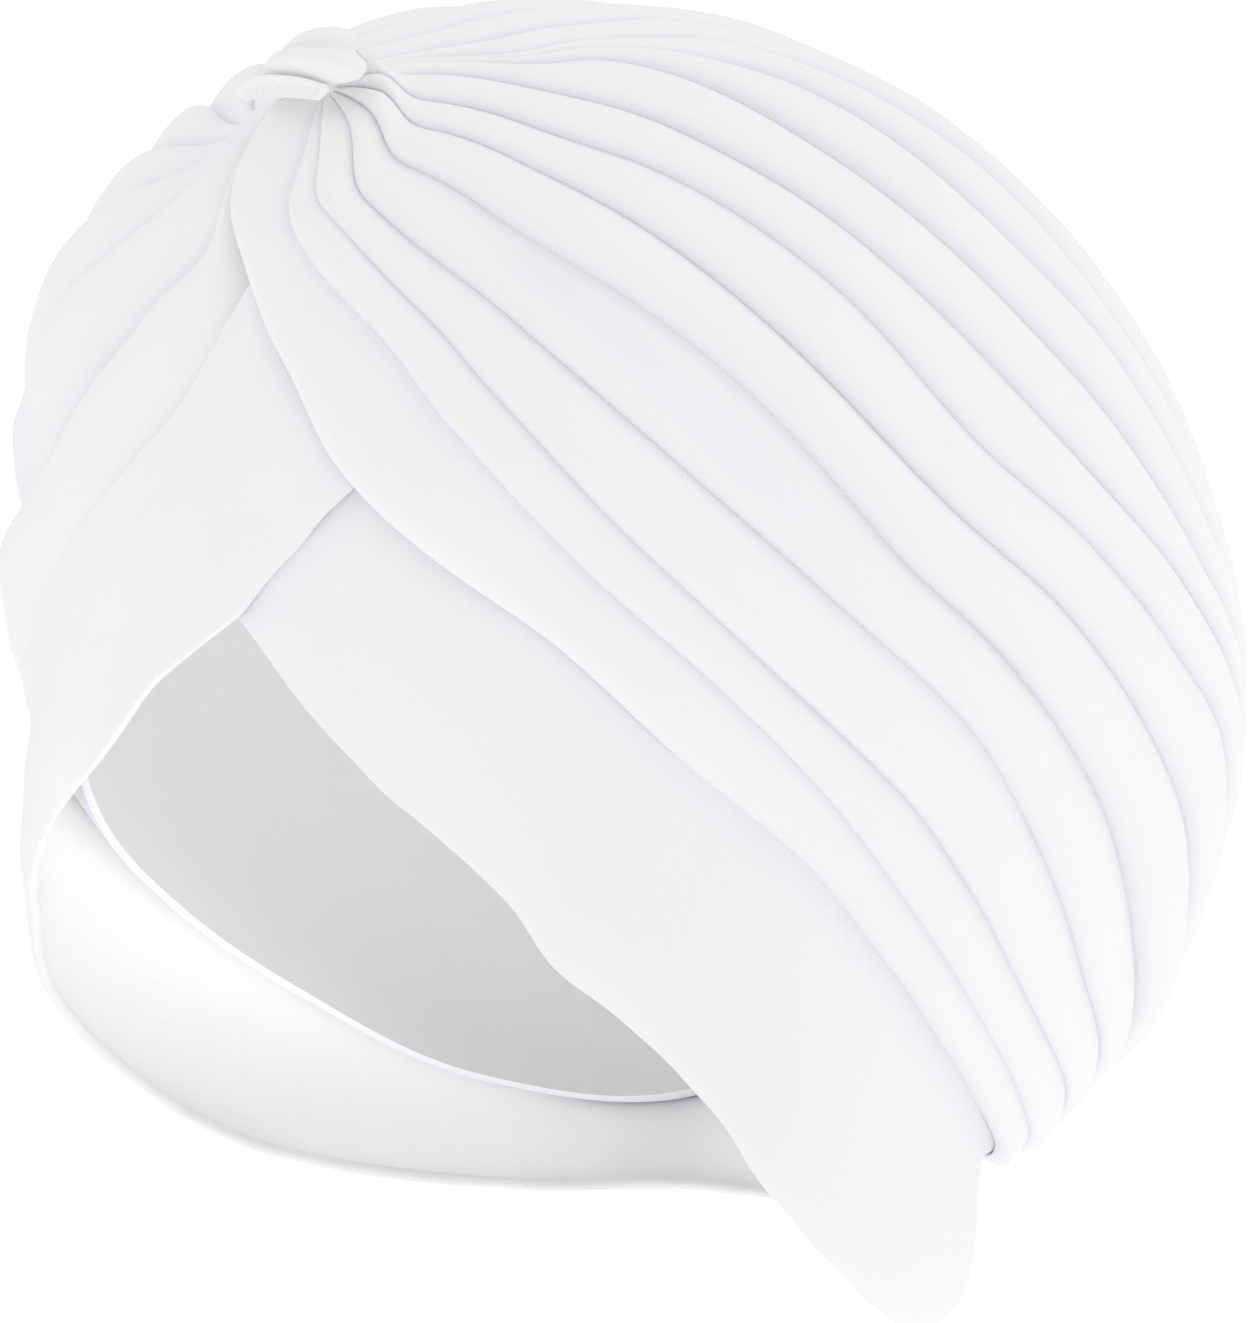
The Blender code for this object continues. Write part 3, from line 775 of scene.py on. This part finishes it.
def jersey(name, white, stitches, rows, depth):
    material = bpy.data.materials.new(name)
    material.use_nodes = True
    nodes, links = material.node_tree.nodes, material.node_tree.links
    shader = nodes["Principled BSDF"]
    shader.inputs["Roughness"].default_value = 0.92
    shader.inputs["Sheen Weight"].default_value = 0.4
    shader.inputs["Sheen Roughness"].default_value = 0.6
    shader.inputs["Specular IOR Level"].default_value = 0.2
    cloth = nodes.new("ShaderNodeUVMap")
    cloth.uv_map = "cloth"
    surface = nodes.new("ShaderNodeGroup")
    surface.node_tree = knit
    links.new(cloth.outputs["UV"], surface.inputs["Cloth"])
    surface.inputs["Stitches per mm"].default_value = stitches
    surface.inputs["Rows per mm"].default_value = rows
    bump = nodes.new("ShaderNodeBump")
    bump.inputs["Distance"].default_value = depth * MM
    bump.inputs["Strength"].default_value = 0.25
    links.new(surface.outputs["Height"], bump.inputs["Height"])
    links.new(bump.outputs["Normal"], shader.inputs["Normal"])
    # painted shade: the mesh's painted shade attribute mixes the white towards lavender
    painted_shade = nodes.new("ShaderNodeAttribute")
    painted_shade.attribute_name = "painted_shade"
    painted_shade_mix = nodes.new("ShaderNodeMix")
    painted_shade_mix.data_type = "RGBA"
    painted_shade_mix.inputs[6].default_value = white
    painted_shade_mix.inputs[7].default_value = PAINTED_SHADE_LAVENDER
    links.new(painted_shade.outputs["Fac"], painted_shade_mix.inputs[0])
    links.new(painted_shade_mix.outputs[2], shader.inputs["Base Color"])
    return material


crown_jersey = jersey("crown_jersey", WHITE, 1.7, 2.2, 0.10)
# the bands' and nape tab's jersey, a copy of the crown's painted darker and bluer as shade
shaded_band_jersey = jersey("shaded_band_jersey", SHADED_BAND_WHITE, 2.2, 1.7, 0.06)
knot_jersey = jersey("knot_jersey", WHITE, 1.9, 1.9, 0.12)


def thread():
    """White sewing thread: a little smoother than the jersey, with faint light and dark twists along it."""
    material = bpy.data.materials.new("thread")
    material.use_nodes = True
    nodes, links = material.node_tree.nodes, material.node_tree.links
    shader = nodes["Principled BSDF"]
    shader.inputs["Roughness"].default_value = 0.7
    place, twist = nodes.new("ShaderNodeTexCoord"), nodes.new("ShaderNodeTexNoise")
    twist.inputs["Scale"].default_value = THREAD_TWISTS
    links.new(place.outputs["Object"], twist.inputs["Vector"])
    shade = nodes.new("ShaderNodeMix")
    shade.data_type = "RGBA"
    shade.inputs[6].default_value = THREAD_SHADE
    shade.inputs[7].default_value = WHITE
    links.new(twist.outputs["Fac"], shade.inputs[0])
    links.new(shade.outputs[2], shader.inputs["Base Color"])
    return material


sewing_thread = thread()
print("materials:", [material.name for material in (crown_jersey, shaded_band_jersey, knot_jersey, sewing_thread)])

# %% [markdown]
# Last come the facts that the frame needs: each piece rides on the one body, stands for its solid, and takes its
# finish from a slot.

# %% Hang the pieces on the frame
CROWN_GROUPS = ["crown_left", "crown_upper_left", "crown_upper_right", "crown_right"]
PIECES = (
    # piece, solid, material, flat width and length and area in metres, how it is held
    (crown, CROWN_GROUPS, crown_jersey, (0.36, 0.34), 0.122, "gathered"),
    (left_band, ["brow_band_left"], shaded_band_jersey, (0.27, 0.06), 0.0125, "stretched"),
    (right_band, ["brow_band_right"], shaded_band_jersey, (0.28, 0.05), 0.009, "stretched"),
    (knot_loop, ["knot_loop"], knot_jersey, (0.028, 0.02), 0.0005, "folded"),
    (nape_tab, ["nape_tab"], shaded_band_jersey, (0.03, 0.024), 0.0007, "stretched"),
)
for piece, nodes, material, flat, area, held in PIECES:
    piece.data.materials.append(material)
    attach(piece, "root")
    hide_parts(*nodes)
stitches.data.materials.append(sewing_thread)
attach(stitches, "root")

# %% [markdown]
# The studio is as plain as the picture's: a pale floor far enough below to take no shadow that shows, light
# from all round, and three large soft lamps that give the pleats their roundness. A fourth, small and faint,
# stands inside the hollow, where the picture shows nothing to match, so that the inside can be seen at all.

# %% Studio
FLOOR_Z = -0.9


def add_stage():
    bpy.ops.mesh.primitive_plane_add(size=30, location=(0, 0, FLOOR_Z))
    floor = bpy.context.object
    floor.name = "floor"
    paint = bpy.data.materials.new("floor_white")
    paint.use_nodes = True
    shader = paint.node_tree.nodes["Principled BSDF"]
    shader.inputs["Base Color"].default_value = (0.9, 0.9, 0.9, 1)
    shader.inputs["Roughness"].default_value = 1.0
    shader.inputs["Emission Color"].default_value = (1, 1, 1, 1)
    shader.inputs["Emission Strength"].default_value = 0.28
    floor.data.materials.append(paint)


def add_light(name, direction, distance, size, power, colour=(1, 1, 1)):
    data = bpy.data.lights.new(name, "AREA")
    data.size, data.energy, data.color = size, power, colour
    light = bpy.data.objects.new(name, data)
    direction = Vector(direction).normalized()
    light.location = Vector(CENTRE * MM) + direction * distance
    light.rotation_euler = direction.to_track_quat("Z", "Y").to_euler()
    light.visible_camera = False
    bpy.context.scene.collection.objects.link(light)


add_stage()
add_light("top", camera_right * 0.2 + camera_up * 1.0 + camera_back * 0.5, 1.8, 1.6, 1.6)
add_light("left_side", -camera_right * 1.0 + camera_up * 0.3 + camera_back * 0.2, 1.6, 1.6, 0.7, (0.8, 0.85, 1))
add_light("right_side", camera_right * 1.0 + camera_up * 0.5 + camera_back * 0.1, 1.6, 1.6, 2.2)
add_light("hollow", -camera_up, 0.09, 0.08, 0.03)
world = bpy.data.worlds.new("world")
world.use_nodes = True
world.node_tree.nodes["Background"].inputs["Color"].default_value = (1, 0.996, 1, 1)
world.node_tree.nodes["Background"].inputs["Strength"].default_value = 0.85
bpy.context.scene.world = world
bpy.context.scene.view_settings.view_transform = "Standard"
